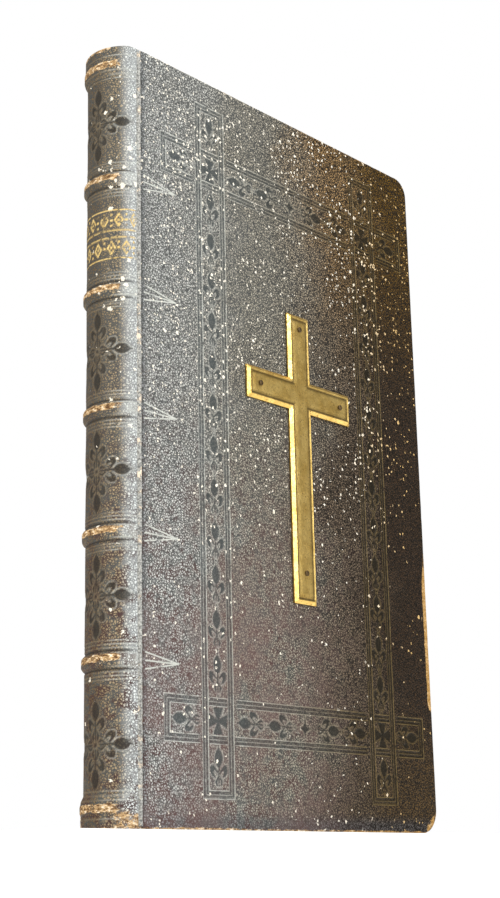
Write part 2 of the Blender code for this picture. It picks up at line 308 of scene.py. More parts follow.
class Shape:
    """Points and faces that grow together, with named values at the points."""

    def __init__(self):
        self.points, self.faces, self.kinds = [], [], []
        self.marks = {}

    def add(self, points, **marks):
        start = len(self.points)
        self.points.extend(map(tuple, np.asarray(points, float)))
        for name in set(self.marks) | set(marks):
            values = self.marks.setdefault(name, [0.0] * start)
            values.extend(np.broadcast_to(marks.get(name, 0.0), len(points)).tolist())
        return list(range(start, len(self.points)))

    def face(self, *faces, kind=0):
        self.faces.extend(faces)
        self.kinds.extend([kind] * len(faces))

    def grid(self, rows, closed=False):
        """Quads through rows of point numbers, closed across each row if asked."""
        for low, high in zip(rows, rows[1:]):
            last = len(low) if closed else len(low) - 1
            for k in range(last):
                after = (k + 1) % len(low)
                self.face((low[k], low[after], high[after], high[k]))

    def tube(self, rows):
        """A closed tube through rows of point numbers, with its two ends filled."""
        self.grid(rows, closed=True)
        self.face(tuple(rows[0][::-1]), tuple(rows[-1]))


# ---------------------------------------------------------------- materials


class Finish:
    """A material's node tree, with short ways to add the nodes that it needs."""

    def __init__(self, name):
        self.material = bpy.data.materials.new(name)
        self.material.use_nodes = True
        self.tree = self.material.node_tree
        self.shader = self.tree.nodes["Principled BSDF"]
        coordinates = self.tree.nodes.new("ShaderNodeTexCoord").outputs["Object"]
        self.place = self.vector("SCALE", coordinates, scale=1 / MM)
        split = self.node("ShaderNodeSeparateXYZ", {"Vector": self.place})
        self.u = self.math("SUBTRACT", split.outputs[0], HINGE_X / MM)
        self.v = self.math("SUBTRACT", split.outputs[1], FACE_Y / MM)
        self.z = split.outputs[2]

    def node(self, kind, inputs=None, **settings):
        node = self.tree.nodes.new(kind)
        for name, value in settings.items():
            setattr(node, name, value)
        for socket, value in (inputs or {}).items():
            self.put(node.inputs[socket], value)
        return node

    def put(self, socket, value):
        if isinstance(value, bpy.types.NodeSocket):
            self.tree.links.new(value, socket)
        else:
            socket.default_value = (*value, 1) if socket.type == "RGBA" and len(value) == 3 else value

    def math(self, operation, *values):
        node = self.node("ShaderNodeMath", operation=operation)
        for socket, value in zip(node.inputs, values):
            self.put(socket, value)
        return node.outputs[0]

    def vector(self, operation, *values, scale=None):
        node = self.node("ShaderNodeVectorMath", operation=operation)
        for socket, value in zip(node.inputs, values):
            self.put(socket, value)
        if scale is not None:
            node.inputs["Scale"].default_value = scale
        return node.outputs[0]

    def ramp(self, value, low, high, start=0.0, end=1.0):
        inputs = {"Value": value, "From Min": low, "From Max": high, "To Min": start, "To Max": end}
        return self.node("ShaderNodeMapRange", inputs, interpolation_type="SMOOTHSTEP").outputs[0]

    def noise(self, size, detail=4.0, place=None, roughness=0.55):
        inputs = {"Vector": place or self.place, "Scale": 1 / size, "Detail": detail,
                  "Roughness": roughness}
        return self.node("ShaderNodeTexNoise", inputs).outputs["Fac"]

    def cells(self, size, feature="F1", place=None, output="Distance"):
        inputs = {"Vector": place or self.place, "Scale": 1 / size}
        return self.node("ShaderNodeTexVoronoi", inputs, feature=feature).outputs[output]

    def mix(self, factor, first, second):
        node = self.node("ShaderNodeMix", {0: factor}, data_type="RGBA")
        self.put(node.inputs[6], first)
        self.put(node.inputs[7], second)
        return node.outputs[2]

    def mark(self, name):
        return self.node("ShaderNodeAttribute", attribute_name=name).outputs["Fac"]

    def product(self, *values):
        total = values[0]
        for value in values[1:]:
            total = self.math("MULTIPLY", total, value)
        return total

    def warp(self, amount, size):
        """Places pushed about by noise, for patterns with no straight lines."""
        inputs = {"Vector": self.place, "Scale": 1 / size, "Detail": 2.0}
        colour = self.node("ShaderNodeTexNoise", inputs).outputs["Color"]
        centred = self.vector("SUBTRACT", colour, (0.5, 0.5, 0.5))
        return self.vector("ADD", self.place, self.vector("SCALE", centred, scale=amount))

    def bump(self, *layers):
        """Bump layers of (height socket, distance in mm), one on the other."""
        normal = None
        for height, distance in layers:
            node = self.node("ShaderNodeBump", {"Height": height, "Strength": 1.0})
            node.inputs["Distance"].default_value = distance * MM
            if normal:
                self.put(node.inputs["Normal"], normal)
            normal = node.outputs[0]
        self.put(self.shader.inputs["Normal"], normal)

    def finish(self, colour, roughness, metallic=0.0, specular=0.5):
        self.put(self.shader.inputs["Base Color"], colour)
        self.put(self.shader.inputs["Roughness"], roughness)
        self.shader.inputs["Metallic"].default_value = metallic
        self.shader.inputs["Specular IOR Level"].default_value = specular
        return self.material


def leather_finish(name):
    """Black-brown goatskin: pebbled grain, paled to grey by the joint (partly faded, partly a painted
    sheen) and olive at the fore-edge.
    """
    f = Finish(name)
    press, line, wear, gilt = (f.mark(mark) for mark in ("press", "line", "wear", "gilt"))
    warped = f.warp(0.8, 1.5)
    pebble = f.ramp(f.cells(1.15, "DISTANCE_TO_EDGE", warped), 0.03, 0.22)
    speckle = f.noise(0.85, 3.0, roughness=0.7)
    grain = f.product(pebble, f.ramp(speckle, 0.38, 0.54))
    patches = f.noise(26.0, 5.0)
    flecks = f.noise(5.0, 4.0)

    # Tones that follow across are palest and greyest by the hinge: partly faded leather, partly a painted
    # sheen. Higher up they turn more golden.
    across = f.math("ADD", f.u, f.product(f.math("SUBTRACT", patches, 0.5), 70.0))
    high, low = f.ramp(f.z, 190.0, 325.0), f.ramp(f.z, 70.0, 10.0)
    inner = f.mix(high, (0.165, 0.125, 0.085), (0.32, 0.20, 0.088))
    far = f.mix(high, f.mix(low, (0.048, 0.027, 0.013), (0.105, 0.062, 0.022)), (0.125, 0.066, 0.006))
    top = f.mix(f.ramp(across, 8.0, 70.0), (0.49, 0.495, 0.472), (0.315, 0.290, 0.232))
    top = f.mix(f.ramp(across, 78.0, 132.0), top, inner)
    top = f.mix(f.ramp(across, 122.0, 172.0), top, far)
    edge_dark = f.math("MAXIMUM", f.ramp(f.u, 4.5, 1.5), f.ramp(f.z, 9.0, 3.0))
    top = f.mix(f.product(edge_dark, f.ramp(f.u, 0.5, 1.0), 0.6), top, (0.11, 0.12, 0.14))
    on_spine = f.ramp(f.u, 1.0, 0.2)
    # By the joint the spine's tone is pale blue-grey: a painted sheen.
    spine_tone_and_sheen = f.mix(f.ramp(f.v, 1.0, 5.0), (0.62, 0.65, 0.64), (0.32, 0.25, 0.155))
    spine_tone_and_sheen = f.mix(f.ramp(f.v, 6.0, 16.0), spine_tone_and_sheen, (0.15, 0.100, 0.048))
    top = f.mix(on_spine, top, spine_tone_and_sheen)
    # Crevice tone: paler by the hinge with the same painted sheen, and pale grey on the spine by the joint
    # for its painted sheen.
    deep = f.mix(f.ramp(across, 30.0, 140.0), (0.068, 0.071, 0.069), (0.005, 0.003, 0.001))
    deep = f.mix(f.product(on_spine, f.ramp(f.v, 6.0, 1.5)), deep, (0.24, 0.25, 0.25))
    maroon = f.product(f.ramp(flecks, 0.42, 0.60), f.ramp(f.z, 230.0, 60.0), f.ramp(across, 160.0, 70.0))
    deep = f.mix(maroon, deep, (0.058, 0.031, 0.029))
    colour = f.mix(grain, deep, top)

    haze = f.product(f.ramp(patches, 0.38, 0.62), f.ramp(f.z, 170.0, 60.0), f.ramp(across, 150.0, 80.0))
    haze = f.product(haze, f.ramp(f.u, 0.2, 1.0), 0.42)
    colour = f.mix(haze, colour, (0.155, 0.095, 0.088))
    pressed = f.mix(f.ramp(across, 20.0, 140.0), (0.050, 0.058, 0.059), (0.010, 0.008, 0.004))
    pressed = f.mix(on_spine, pressed, (0.024, 0.021, 0.017))
    colour = f.mix(f.product(press, 0.85), colour, pressed)
    # The line mark's pale colour: tooled lines partly burnished and dust-filled, partly a painted
    # highlight along their edges, and a painted sheen on the spine's bands.
    light = f.mix(f.ramp(across, 20.0, 150.0), (0.52, 0.53, 0.49), (0.17, 0.12, 0.045))
    light = f.mix(f.ramp(f.v, 4.0, 14.0), light, (0.24, 0.19, 0.12))
    drawn = f.product(line, f.ramp(f.noise(3.0, 3.0), 0.25, 0.50), 0.85)
    colour = f.mix(drawn, colour, light)

    dust_place = f.warp(2.0, 0.9)
    dust = f.cells(2.4, place=dust_place)
    chance = f.node("ShaderNodeSeparateColor", {0: f.cells(2.4, place=dust_place, output="Color")})
    crowd = f.product(f.ramp(f.z, 90.0, 250.0, 0.07, 0.46), f.ramp(patches, 0.40, 0.62, 0.3, 1.9))
    crowd = f.product(crowd, f.ramp(f.u, 0.2, 1.0, 0.45, 1.0), f.ramp(f.u, 150.0, 200.0, 1.0, 0.4))
    crowd = f.product(crowd, f.ramp(f.v, 6.0, 24.0, 1.0, 0.4))
    size = f.product(chance.outputs[1], chance.outputs[1], 0.42)
    size = f.math("ADD", size, 0.12)
    spot = f.product(f.math("LESS_THAN", chance.outputs[0], crowd), f.math("LESS_THAN", dust, size))
    dust_tone = f.mix(f.ramp(across, 130.0, 185.0), (0.90, 0.84, 0.72), (0.66, 0.44, 0.18))
    colour = f.mix(f.product(spot, 0.9), colour, dust_tone)

    fray = f.noise(2.4, 6.0, f.vector("MULTIPLY", f.place, (1.0, 1.0, 2.2)), roughness=0.75)
    tan = f.mix(f.ramp(fray, 0.40, 0.56), (0.11, 0.055, 0.025), (0.62, 0.41, 0.20))
    tan = f.mix(f.ramp(fray, 0.54, 0.62), tan, (0.90, 0.80, 0.64))
    golden = f.mix(fray, (0.16, 0.075, 0.015), (0.62, 0.37, 0.11))
    tan = f.mix(f.ramp(f.u, 90.0, 170.0, 0.0, 0.8), tan, golden)
    torn = f.product(f.math("SUBTRACT", f.noise(3.0, 6.0, roughness=0.75), 0.5), 1.3)
    worn = f.product(f.ramp(f.math("ADD", wear, torn), 0.40, 0.56), f.ramp(wear, 0.02, 0.15))
    colour = f.mix(worn, colour, tan)
    gold = f.mix(f.noise(1.3, 4.0), (0.52, 0.30, 0.06), (1.0, 0.80, 0.36))
    rubbed = f.product(gilt, f.ramp(f.noise(1.8, 5.0), 0.34, 0.50))
    colour = f.mix(rubbed, colour, gold)

    soft = f.math("SUBTRACT", 1.0, f.product(press, 0.85))
    f.bump((f.product(pebble, soft), 0.22), (f.product(speckle, soft), 0.10), (flecks, 0.18))
    rough = f.math("ADD", 0.48, f.product(worn, 0.3))
    rough = f.math("SUBTRACT", rough, f.product(f.math("MAXIMUM", press, rubbed), 0.10))
    return f.finish(colour, rough, specular=0.13)


def torn_finish(name):
    """The cracked joint: grey rubbed leather, with pale fibres where the skin has gone."""
    f = Finish(name)
    warped = f.warp(2.0, 2.0)
    cracks = f.ramp(f.noise(5.0, 6.0, warped, roughness=0.75), 0.545, 0.60)
    rubbed = f.mix(f.ramp(f.noise(0.8, 5.0), 0.35, 0.65), (0.13, 0.13, 0.125), (0.44, 0.44, 0.41))
    fibre = f.mix(f.noise(0.6, 4.0), (0.62, 0.46, 0.31), (0.92, 0.84, 0.72))
    colour = f.mix(cracks, rubbed, fibre)
    f.bump((f.noise(0.9, 5.0, warped), 0.3), (cracks, 0.25))
    return f.finish(colour, f.ramp(cracks, 0.0, 1.0, 0.5, 0.85), specular=0.25)


def brass_finish(name, light, dark, roughness):
    """Old brass: brighter where it is rubbed, brown speckle where it isn't."""
    f = Finish(name)
    tarnish = f.noise(7.0, 6.0, roughness=0.65)
    speckle = f.noise(0.9, 4.0, roughness=0.7)
    colour = f.mix(f.ramp(tarnish, 0.35, 0.68), light, dark)
    colour = f.mix(f.ramp(speckle, 0.52, 0.72), colour, (0.16, 0.085, 0.022))
    colour = f.mix(f.product(f.mark("line"), 0.85), colour, (0.050, 0.030, 0.012))
    scratches = f.noise(1.6, 4.0, f.vector("MULTIPLY", f.place, (0.15, 1.0, 1.0)))
    f.bump((tarnish, 0.25), (speckle, 0.05), (scratches, 0.05))
    rough = f.ramp(speckle, 0.3, 0.7, roughness - 0.06, roughness + 0.14)
    return f.finish(colour, rough, metallic=1.0)


def paper_finish(name, light, dark, fibre=0.5):
    """Aged rag paper: toned in clouds, browner at its edges, with a few spots."""
    f = Finish(name)
    clouds = f.noise(38.0, 5.0)
    colour = f.mix(f.ramp(clouds, 0.3, 0.7), light, dark)
    to_edge = f.math("MINIMUM", f.math("MINIMUM", f.math("SUBTRACT", BOARD_HEIGHT, f.z), f.z),
                     f.math("SUBTRACT", BOARD_REACH, f.u))
    rim = f.ramp(f.math("ADD", to_edge, f.product(clouds, 12.0)), 24.0, 8.0)
    colour = f.mix(f.product(rim, 0.55), colour, (0.42, 0.27, 0.13))
    spots = f.ramp(f.cells(9.0, place=f.warp(5.0, 6.0)), 0.20, 0.06)
    colour = f.mix(f.product(spots, f.ramp(clouds, 0.45, 0.6), 0.5), colour, (0.34, 0.19, 0.08))
    threads = f.noise(fibre, 4.0, f.vector("MULTIPLY", f.place, (0.3, 1.0, 1.0)))
    f.bump((threads, 0.03), (clouds, 0.3))
    return f.finish(colour, 0.82)


def leaf_edge_finish(name):
    """The cut edges of the leaves: dulled gilding with the paper showing between leaves."""
    f = Finish(name)
    leaf = f.noise(0.22, 3.0, f.vector("MULTIPLY", f.place, (0.02, 1.0, 0.02)))
    rub = f.noise(9.0, 6.0, roughness=0.6)
    gold = f.mix(leaf, (0.30, 0.19, 0.060), (0.66, 0.47, 0.19))
    colour = f.mix(f.ramp(rub, 0.42, 0.62), gold, (0.50, 0.36, 0.20))
    f.bump((leaf, 0.08), (rub, 0.10))
    return f.finish(colour, f.ramp(rub, 0.40, 0.62, 0.38, 0.75), specular=0.6)


def fibre_finish(name, light, dark, size, depth, stretch=(1, 1, 1)):
    """A fibrous stuff such as board, cord or cloth: fine threads that run one way."""
    f = Finish(name)
    place = f.vector("MULTIPLY", f.place, stretch)
    threads = f.noise(size, 5.0, place, roughness=0.65)
    blotch = f.noise(size * 14, 4.0)
    colour = f.mix(f.ramp(threads, 0.3, 0.7), dark, light)
    colour = f.mix(f.product(blotch, 0.5), colour, dark)
    f.bump((threads, depth), (blotch, depth * 2))
    return f.finish(colour, 0.88)


def silk_finish(name):
    """Two silks wound in turn over the endband's core."""
    f = Finish(name)
    colour = f.mix(f.ramp(f.mark("silk"), 0.45, 0.55), (0.42, 0.055, 0.040), (0.66, 0.55, 0.34))
    threads = f.noise(0.16, 3.0, roughness=0.6)
    colour = f.mix(f.ramp(threads, 0.3, 0.75), f.mix(0.5, colour, (0.10, 0.045, 0.02)), colour)
    f.bump((threads, 0.06))
    return f.finish(colour, 0.55)


def stage_finish(name, tone):
    f = Finish(name)
    cloud = f.noise(240.0, 4.0)
    light, dark = (tone,) * 3, (tone * 0.985,) * 3
    f.bump((f.noise(6.0, 3.0), 0.02))
    return f.finish(f.mix(cloud, light, dark), 0.8, specular=0.2)


LEATHER = leather_finish("worn_goatskin")
TORN = torn_finish("torn_joint")
BRASS = brass_finish("old_brass", (0.86, 0.61, 0.20), (0.64, 0.42, 0.11), 0.34)
TACK_BRASS = brass_finish("tack_brass", (0.13, 0.09, 0.045), (0.06, 0.04, 0.02), 0.5)
PAPER = paper_finish("rag_paper", (0.76, 0.67, 0.50), (0.68, 0.57, 0.40))
ENDPAPER = paper_finish("endpaper", (0.70, 0.62, 0.48), (0.58, 0.47, 0.32), fibre=0.8)
LEAF_EDGE = leaf_edge_finish("leaf_edges")
MILLBOARD = fibre_finish("millboard", (0.30, 0.23, 0.15), (0.16, 0.12, 0.08), 0.8, 0.12)
LINEN = fibre_finish("linen_lining", (0.50, 0.44, 0.33), (0.30, 0.25, 0.17), 0.5, 0.12, (1, 1, 0.35))
HEMP = fibre_finish("hemp_cord", (0.44, 0.34, 0.20), (0.24, 0.17, 0.09), 0.4, 0.2, (1, 0.3, 1))
SILK = silk_finish("endband_silk")


# ---------------------------------------------------------------- the boards

EDGE_ROUND, INNER_ROUND = 1.2, 0.7
CORNER_HEAD, CORNER_TAIL = 9.0, 12.0
BAND_WIDTH, STRIP = 19.3, 3.9  # a tooled band, and the plain strip along each of its sides
BAND_LEFT, BAND_RIGHT = 34.2, 144.8
BAND_LOW, BAND_HIGH = 34.5, 281.2
UPRIGHT_MARGIN, LEVEL_START, LEVEL_END = 12.4, 12.2, 186.2
UPRIGHTS = [(u, u + BAND_WIDTH, UPRIGHT_MARGIN, BOARD_HEIGHT - UPRIGHT_MARGIN)
            for u in (BAND_LEFT, BAND_RIGHT)]
LEVELS = [(LEVEL_START, LEVEL_END, z, z + BAND_WIDTH) for z in (BAND_LOW, BAND_HIGH)]
FINE, COARSE, RAY_STEP = 0.44, 3.0, 0.3  # cell sizes: among stamps, elsewhere, among rays
FLEURS_UP = 12  # up an upright band, between its two crossings
LEVEL_TIP, LEVEL_PITCH = 2.0, 19.0  # the fleurs along a level band, from an upright's inner edge
PRESS_DEPTH, LINE_RISE = 0.34, 0.08
RAY_REACH, RAY_SPREAD = 21.0, 3.6  # the three lines that run from each raised band
TIP_GAP = 0.5
TURN_IN_GAP = 0.3  # round the window that the pastedown fills
TURN_IN_THICKNESS = 0.7
FRET_END = 5.0  # how far in from a board's edge the unevenness of that edge ends
POCKET_INSET = 0.95  # from the board's edge to the pocket that the millboard fills
CLOSEST_BREAKS = 0.15
RAY_FIELD, RAY_FIELD_HALF = RAY_REACH + 1.5, RAY_SPREAD + 0.8  # the area divided for the rays
FORE_WORN_FROM, FORE_WORN_TO = (55, 60), (150, 115)  # where the fore-edge is rubbed through
LINE_AT, LINE_HALF = 0.25, 0.32  # where a strip's outline runs inside its edge, and its half width


def inside(rectangle, u, z):
    """How far inside a rectangle (u_low, u_high, z_low, z_high) a place is."""
    u_low, u_high, z_low, z_high = rectangle
    return np.minimum.reduce([u - u_low, u_high - u, z - z_low, z_high - z])


def stamps():
    """Every stamp on a board as (outline, u, z of its tip or centre, where its tip points)."""
    up, out, back = (0, 1), (-1, 0), (1, 0)
    placed = []
    pitch = (BAND_HIGH - BAND_LOW - BAND_WIDTH) / FLEURS_UP
    for left, right, low, high in UPRIGHTS:
        middle = (left + right) / 2
        tips = [BAND_LOW - TIP_GAP, high - STRIP - TIP_GAP]
        tips += [BAND_LOW + BAND_WIDTH + pitch * (k + 1) - TIP_GAP for k in range(FLEURS_UP)]
        placed += [(fleur, middle, z, up) for z in tips]
        placed += [(pattee, middle, z + BAND_WIDTH / 2, up) for z in (BAND_LOW, BAND_HIGH)]
    centre = (BAND_LEFT + BAND_RIGHT + BAND_WIDTH) / 2
    for start, end, low, high in LEVELS:
        middle = (low + high) / 2
        placed.append((star, centre, middle, up))
        for k in (0, 1):
            tip = BAND_LEFT + BAND_WIDTH + LEVEL_TIP + LEVEL_PITCH * k
            placed += [(fleur, tip, middle, out), (fleur, 2 * centre - tip, middle, back)]
        placed.append((fleur, start + STRIP + TIP_GAP, middle, out))
        placed.append((fleur, end - STRIP - TIP_GAP, middle, back))
    return placed


def strip_profile(depth):
    """Press and light line across a strip, from its outer edge inwards."""
    line = np.maximum(tent(depth, LINE_AT, LINE_HALF), tent(depth, STRIP - LINE_AT, LINE_HALF))
    line = np.maximum(line, 0.55 * tent(depth, STRIP / 2, LINE_HALF))
    from_side = np.minimum(depth, STRIP - depth)
    press = 0.72 * ramp(from_side, LINE_AT, LINE_AT + LINE_HALF)
    press = press * (1 - 0.7 * tent(depth, STRIP / 2, LINE_HALF))
    return press, line


def stamp_marks(distance):
    """Press inside a stamp and a light line around it, from the signed distance."""
    return 1 - ramp(distance, -0.25, 0.15), 0.6 * tent(distance, 0.36, 0.38)


def tooling(u, z):
    """How deep each place on a board is pressed, and how much pale line it carries: partly burnished
    tooling, partly a painted highlight.
    """
    press, line = np.zeros(u.shape), np.zeros(u.shape)
    covered = np.zeros(u.shape, bool)
    for rectangle in UPRIGHTS + LEVELS:
        depth = inside(rectangle, u, z)
        here = (depth > -0.3) & (depth < STRIP + 0.3) & ~covered
        press[here], line[here] = strip_profile(depth[here])
        covered |= here
    for outline, tip_u, tip_z, (du, dz) in stamps():
        x, y = (u - tip_u) * dz - (z - tip_z) * du, -(u - tip_u) * du - (z - tip_z) * dz
        here = (np.abs(x) < 7) & (np.abs(y) < FLEUR_LENGTH + 1) & ~covered
        stamped, edged = stamp_marks(outline(x[here], y[here]))
        press[here] = np.maximum(press[here], stamped)
        line[here] = np.maximum(line[here], edged)
    for height in BANDS:
        for start in (-RAY_SPREAD, 0, RAY_SPREAD):
            ray = [(BOARD_START, height + start, 0.0), (RAY_REACH, height, 0.0)]
            line = np.maximum(line, 2.2 * tent(capsules(u, z, ray), 0, 0.37))
    return press, line


def board_breaks():
    """Where the board's face is divided: along every tooled line and round the corners."""
    across = [BOARD_START + EDGE_ROUND, BOARD_REACH - EDGE_ROUND, RAY_FIELD]
    up = [EDGE_ROUND, BOARD_HEIGHT - EDGE_ROUND]
    lines = (LINE_AT, STRIP / 2, STRIP - LINE_AT)
    inner = [middle + side * LINE_HALF for middle in lines for side in (-1, 0, 1)]
    for left, right, low, high in UPRIGHTS + LEVELS:
        for step in inner:
            across += [left + step, right - step]
            up += [low + step, high - step]
    corner = np.arange(0.9, CORNER_TAIL, 0.9)
    across += (BOARD_REACH - EDGE_ROUND - corner).tolist()
    up += (EDGE_ROUND + corner).tolist() + (BOARD_HEIGHT - EDGE_ROUND - corner).tolist()
    up += [height + side * RAY_FIELD_HALF for height in BANDS for side in (-1, 1)]
    return [tidy_breaks(values) for values in (across, up)]


def tidy_breaks(values):
    """Sorted, with each one that lies too close to the one before it left out."""
    kept = []
    for value in sorted(values):
        if not kept or value - kept[-1] > CLOSEST_BREAKS:
            kept.append(value)
    return kept


def board_step(u, z):
    """Cell size on a board's face: fine where stamps and rays are."""
    stamped = any(inside(rectangle, u, z) > STRIP for rectangle in UPRIGHTS + LEVELS)
    rays = u < RAY_FIELD and any(abs(z - height) < RAY_FIELD_HALF for height in BANDS)
    step = RAY_STEP if rays else FINE if stamped else COARSE
    return step, step


def round_corners(points):
    """The sheet's two fore-edge corners bent to quarter circles, with outward directions."""
    rounded = points.copy()
    outward = np.zeros_like(points)
    far, head = BOARD_REACH - EDGE_ROUND, BOARD_HEIGHT - EDGE_ROUND
    low, high = points.min(axis=0), points.max(axis=0)
    for axis in (0, 1):
        outward[np.isclose(points[:, axis], low[axis]), axis] = -1
        outward[np.isclose(points[:, axis], high[axis]), axis] = 1
    for corner_z, side, radius in ((EDGE_ROUND, -1, CORNER_TAIL), (head, 1, CORNER_HEAD)):
        radius -= EDGE_ROUND
        p = (points[:, 0] - far) / radius + 1
        q = (points[:, 1] - corner_z) * side / radius + 1
        here = (p > 0) & (q > 0)
        p, q = p[here], q[here]
        reach = np.maximum(p, q)
        turn = np.where(p >= q, q / np.maximum(p, 1e-9), 2 - p / np.maximum(q, 1e-9)) * math.pi / 4
        along = np.stack([np.cos(turn), np.sin(turn) * side], axis=1)
        centre = np.array([far - radius, corner_z - side * radius])
        rounded[here] = centre + along * (reach * radius)[:, None]
        rim = reach > 1 - 1e-6
        outward[np.flatnonzero(here)[rim]] = along[rim]
    return rounded, outward


def edge_wear(u, z):
    """How worn the skin is near a board's edges: most at the tail, the corners and the fore-edge."""
    tail = ramp(z, 2.6, 0.4) * 0.62
    head = ramp(BOARD_HEIGHT - z, 2.2, 0.4) * 0.40
    fore = ramp(BOARD_REACH - u, 2.0, 0.4) * 0.36
    rubbed = ramp(z, *FORE_WORN_FROM) * ramp(z, *FORE_WORN_TO)
    width = (3.6 * rubbed + 0.6, 2.4 * rubbed + 0.3)
    fore = np.maximum(fore, 0.85 * rubbed * ramp(BOARD_REACH - u, *width))
    corner = np.hypot(u - BOARD_REACH, z) - 4.0
    corner = ramp(corner, 10.0, 2.0) * 0.55
    return np.maximum.reduce([tail, head, fore, corner])


def board_cover(side):
    """The leather over a board: tooled face, rounded edges, turn-ins and the pocket inside."""
    shape = Shape()
    flat, faces = pave(*board_breaks(), board_step)
    rounded, outward = round_corners(flat)
    u, z = rounded.T
    press, line = tooling(u, z)
    to_edge = np.minimum.reduce([u - BOARD_START, BOARD_REACH - u, z, BOARD_HEIGHT - z])
    depth = PRESS_DEPTH * press - LINE_RISE * line
    depth += 0.11 * wander(u, z, 22, 5) * ramp(to_edge, EDGE_ROUND, 9)
    shape.add(places(u, depth, z), press=press, line=line, wear=edge_wear(u, z))
    shape.face(*faces)

    outline = open_loops(faces)[0]
    start, direction = rounded[outline], outward[outline]
    fret = 0.10 * wander(*start.T, 5, 8) - 0.16 * ramp(wander(*start.T, 2.2, 9), 0.2, 1.2)

    def loop(offset, depth, clamp=None, share=1.0):
        line = start + direction * (offset + share * fret)[:, None]
        if clamp is not None:
            line = np.clip(line, *clamp)
        wear = edge_wear(*line.T) * (depth < BOARD_THICKNESS - INNER_ROUND)
        return shape.add(places(line[:, 0], depth, line[:, 1]), wear=wear)

    turn_in = (PASTEDOWN_LOW[[0, 2]] - TURN_IN_GAP, PASTEDOWN_HIGH[[0, 2]] + TURN_IN_GAP)
    back, under = BOARD_THICKNESS, BOARD_THICKNESS - TURN_IN_THICKNESS
    pocket = EDGE_ROUND - POCKET_INSET
    loops = [outline]
    for turn in np.radians((20, 40, 60, 80, 90)):
        out, down = EDGE_ROUND * math.sin(turn), EDGE_ROUND * (1 - math.cos(turn))
        loops.append(loop(out, down, share=math.sin(turn)))
    for turn in np.radians((0, 30, 60, 90)):
        edge = EDGE_ROUND - INNER_ROUND * (1 - math.cos(turn))
        loops.append(loop(edge, back - INNER_ROUND * (1 - math.sin(turn))))
    loops.append(loop(EDGE_ROUND - FRET_END, back, share=0))
    loops += [loop(0, back, turn_in), loop(0, under, turn_in)]
    loops += [loop(pocket, under, share=0), loop(pocket, LEATHER_THICKNESS, share=0)]
    for first, second in zip(loops, loops[1:]):
        shape.face(*bridge(first, second))
    shape.face(tuple(reversed(loops[-1])))

    points = on_side(shape.points, side)
    obj = build_piece(side + "_cover", points, shape.faces, None, [LEATHER],
                      replaces=[side + "_cover_leather"], marks=shape.marks, flip=side == "back")
    weld(obj)
    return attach(obj, side + "_board")


def on_side(points, side):
    """Points made for the front board, mirrored if they are for the back one."""
    points = np.array(points)
    if side == "back":
        points[:, 1] = BOOK_THICKNESS - points[:, 1]
    return points


def weld(obj):
    """Points at one place made one, which turns pinched cells into triangles."""
    shape = bmesh.new()
    shape.from_mesh(obj.data)
    bmesh.ops.remove_doubles(shape, verts=shape.verts, dist=1e-7)
    shape.to_mesh(obj.data)
    shape.free()


SHEET_CORNER = 2.0  # the size of the softened corners at a sheet's fore-edge
CORNER_TRIM = 0.29  # how far a corner's tip moves in along each side, as a share of that size


def thin_sheet(name, u_range, z_range, step, face_v, thickness, body, material, node):
    """A closed sheet of paper. face_v gives the v of its face nearer the front at places (u, z)."""
    flat, faces = pave(list(u_range), list(z_range), lambda u, z: (step, step))
    u, z = flat.T
    for z_end, side in ((z_range[0], -1), (z_range[1], 1)):
        p, q = (u - u_range[1]) / SHEET_CORNER + 1, (z - z_end) * side / SHEET_CORNER + 1
        trim = np.clip(np.minimum(p, q), 0, 1) * (p > 0) * (q > 0) * CORNER_TRIM * SHEET_CORNER
        u, z = u - trim, z - side * trim
    near = face_v(u, z)
    count = len(flat)
    points = np.concatenate([places(u, near, z), places(u, near + thickness, z)])
    outline = open_loops(faces)[0]
    walls = bridge(outline, [k + count for k in outline])
    back = [tuple(k + count for k in reversed(face)) for face in faces]
    return build_piece(name, points, faces + walls + back, body, [material], [node], sharp=40)


def pastedown(side):
    """The paper inside a board, drawn over the edges of the turn-ins."""
    overlap, rise, thickness = 4.0, 0.45, 0.12

    def face(u, z):
        window = inside((PASTEDOWN_LOW[0], PASTEDOWN_HIGH[0], PASTEDOWN_LOW[2], PASTEDOWN_HIGH[2]), u, z)
        depth = PASTEDOWN_HIGH[1] + rise * ramp(window, 1.8, -0.6) + 0.04 * wander(u, z, 30, 11)
        return depth - thickness if side == "front" else BOOK_THICKNESS - depth

    u_range = (PASTEDOWN_LOW[0] - 1.0, PASTEDOWN_HIGH[0] + overlap)
    z_range = (PASTEDOWN_LOW[2] - overlap, PASTEDOWN_HIGH[2] + overlap)
    thin_sheet(side + "_pastedown_paper", u_range, z_range, 1.9, face, thickness,
               side + "_board", ENDPAPER, side + "_pastedown")


def flyleaf(side):
    """The free endpaper, with the slight cockle of old paper."""
    low, high = plan_box(side + "_flyleaf")
    middle, thickness = (low[1] + high[1]) / 2, 0.18

    def face(u, z):
        return middle - thickness / 2 + 0.05 * wander(u, z, 45, 17) * ramp(u, low[0], low[0] + 20)

    thin_sheet(side + "_flyleaf_paper", (low[0], high[0]), (low[2], high[2]), 4.0, face, thickness,
               side + "_flyleaf", ENDPAPER, side + "_flyleaf")


# ---------------------------------------------------------------- the spine

